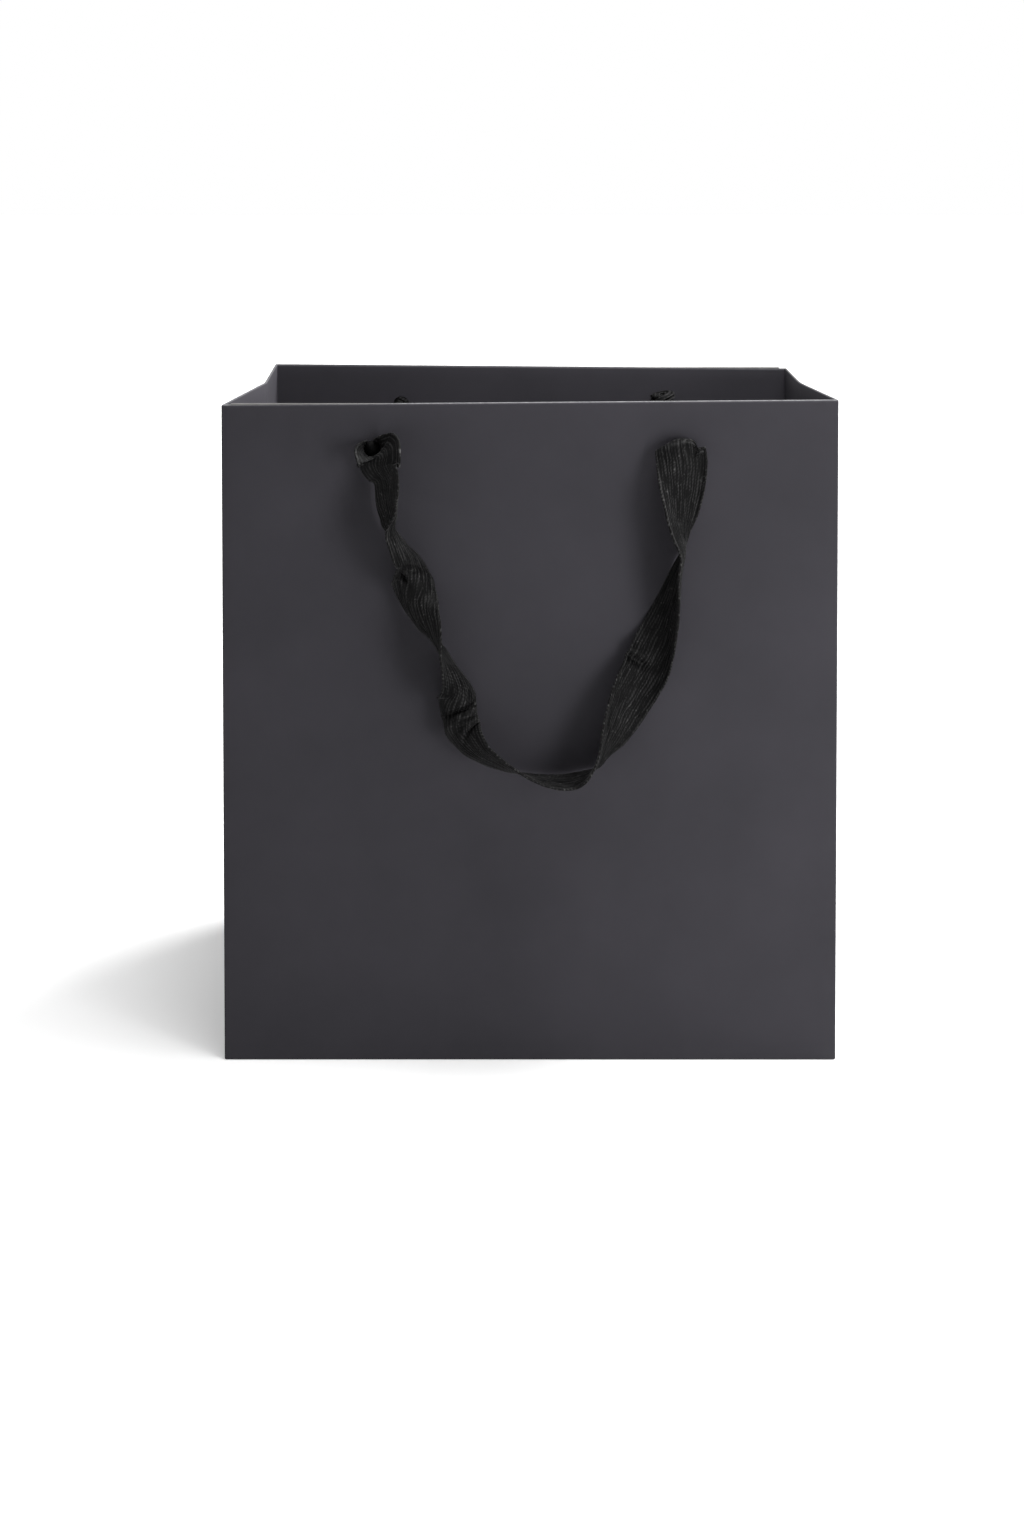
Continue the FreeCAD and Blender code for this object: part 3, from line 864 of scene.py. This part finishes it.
def build_knot(side, facing, place, x, droop, spin):
    """A stopper knot against the hem: the gathered ribbon, a wound strand round it and a cut tail."""
    # From the hole through the knot to the tail's end, in millimetres: to the right, out, down.
    neck = [
        (0, 0.2, 0),
        (0, -1.4, 0.12 * droop),
        (0, -3.2, 0.3 * droop),
        (0, -5.2, droop - 1),
        (0.3, -5.6, droop + 2.5),
        (0, -5.2, droop + 6),
        (spin, -4.4, droop + 11),
        (1.6 * spin, -3.8, droop + 16.5),
    ]
    wrap = []
    for k in range(WRAP_STEPS):
        t = k / (WRAP_STEPS - 1)
        angle = 2 * math.pi * WRAP_TURNS * t + spin
        across = WRAP_RADIUS * math.cos(angle)
        out = WRAP_INSET + WRAP_RADIUS * math.sin(angle)
        wrap.append((across, out, droop + WRAP_TOP + WRAP_HEIGHT * t + WRAP_TILT * across))
    verts = []
    faces = []
    attributes = {"along": [], "across": [], "rib": [], "edge": []}
    for points, sizes in ((neck, neck_sizes), (wrap, wrap_sizes)):
        line = spline_points([beside_panel(facing, x + across, drop, out)
                              for across, out, drop in points])
        strand, travelled, ribs = sweep(line, sizes)
        first = len(verts)
        faces.extend(tuple(first + i for i in face) for face in ring_faces(len(line), RING_POINTS))
        verts.extend(strand)
        attributes["along"].extend(travelled)
        attributes["across"].extend([0.0] * len(strand))
        attributes["edge"].extend([0.0] * len(strand))
        attributes["rib"].extend(ribs)
    name = f"{side}_handle_knot_{place}"
    knot = new_object(f"{name}_tied", verts, faces, ribbon_weave, attributes)
    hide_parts(name)
    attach(knot, "bag")


# Each knot: its handle, its side, how far it hangs below its hole in millimetres and its own lean.
KNOTS = [("front", "left", 1.5, -0.9), ("front", "right", 0.5, 0.7),
         ("back", "left", 9.5, 0.8), ("back", "right", -2.2, -0.6)]
for side, place, droop, lean in KNOTS:
    low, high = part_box(f"{side}_handle_knot_{place}")
    x = -FACING[side] * (low.x + high.x) / 2 / MM
    build_knot(side, FACING[side], place, x, droop, lean)


# Solids that show as they are.
for name, thing in frame["nodes"].items():
    if not thing.hide_render:
        thing.data.materials.clear()
        board = name.endswith("card") or name == "base_board"
        thing.data.materials.append(grey_board if board else outer_paper)


# Camera, light and floor

camera = bpy.data.cameras.new("camera")
camera.sensor_fit = "VERTICAL"
camera.sensor_height = 36.0
camera.sensor_width = 21.0
camera.lens = 43.74
camera.shift_x = -0.0157
camera.shift_y = -0.3380
camera_object = bpy.data.objects.new("camera", camera)
camera_object.location = (1.9 * MM, -632.0 * MM, 269.8 * MM)
camera_object.rotation_euler = (math.radians(90 - 1.76), 0, 0)
bpy.context.collection.objects.link(camera_object)
bpy.context.scene.camera = camera_object


def area_light(name, place, target, width, height, power):
    """A soft lamp at a place, aimed at a target, that isn't seen itself."""
    data = bpy.data.lights.new(name, "AREA")
    data.shape = "RECTANGLE"
    data.size = width
    data.size_y = height
    data.energy = power
    lamp = bpy.data.objects.new(name, data)
    lamp.location = place
    aim = Vector(target) - Vector(place)
    lamp.rotation_euler = aim.to_track_quat("-Z", "Y").to_euler()
    lamp.visible_camera = False
    bpy.context.collection.objects.link(lamp)


def sun_light(name, travel, strength, spread):
    """Even light from far off, along its direction of travel."""
    data = bpy.data.lights.new(name, "SUN")
    data.energy = strength
    data.angle = math.radians(spread)
    lamp = bpy.data.objects.new(name, data)
    lamp.rotation_euler = Vector(travel).to_track_quat("-Z", "Y").to_euler()
    bpy.context.collection.objects.link(lamp)


def white_for_rays(nodes, links, plain, white):
    """A strength that is plain for scattered light and white where the backdrop itself is seen."""
    rays = nodes.new("ShaderNodeLightPath")
    seen = rays.outputs["Is Camera Ray"]
    for kind in ("Is Glossy Ray", "Is Transmission Ray"):
        seen = math_node(nodes, links, "MAXIMUM", seen, rays.outputs[kind])
    span = nodes.new("ShaderNodeMapRange")
    span.inputs["To Min"].default_value = plain
    span.inputs["To Max"].default_value = white
    links.new(seen, span.inputs["Value"])
    return span.outputs["Result"]


# The floor's tone and glow are what the camera sees; its bounce is what it throws back on the bag.
SKY_LIGHT = 0.10
FLOOR_GLOW = 0.37
FLOOR_TONE = 0.80
FLOOR_BOUNCE = 0.50
FLOOR_REACH = 20.0
FLOOR_DROP = 0.05 * MM

sun_light("overhead", travel=(-0.22, 0.15, -0.96), strength=2.3, spread=30)
sun_light("backlight", travel=(-0.74, -0.40, -0.54), strength=5.0, spread=40)
area_light("key", place=(0.25, -0.34, 0.08), target=(0.0, -0.06, 0.05),
           width=0.10, height=0.36, power=1.1)
area_light("mouth", place=(0.07, -0.065, 0.40), target=(0.02, 0.06, 0.19),
           width=0.10, height=0.10, power=0.60)

world = bpy.data.worlds.new("studio")
world.use_nodes = True
bpy.context.scene.world = world
sky = world.node_tree.nodes["Background"]
sky.inputs["Color"].default_value = (1, 1, 1, 1)
sky_strength = white_for_rays(world.node_tree.nodes, world.node_tree.links, SKY_LIGHT, 1.0)
world.node_tree.links.new(sky_strength, sky.inputs["Strength"])

floor_material, floor_nodes, floor_links, floor_shader = new_material("floor")
floor_tone = white_for_rays(floor_nodes, floor_links, FLOOR_BOUNCE, FLOOR_TONE)
floor_links.new(floor_tone, floor_shader.inputs["Base Color"])
floor_shader.inputs["Roughness"].default_value = 0.9
floor_shader.inputs["Specular IOR Level"].default_value = 0.0
floor_shader.inputs["Emission Color"].default_value = (1, 1, 1, 1)
floor_glow = white_for_rays(floor_nodes, floor_links, 0.0, FLOOR_GLOW)
floor_links.new(floor_glow, floor_shader.inputs["Emission Strength"])
floor_corners = [(x * FLOOR_REACH, y * FLOOR_REACH, -FLOOR_DROP)
                 for x, y in ((-1, -1), (1, -1), (1, 1), (-1, 1))]
floor = new_object("floor", floor_corners, [(0, 1, 2, 3)], floor_material)

bpy.context.scene.view_settings.view_transform = "Standard"
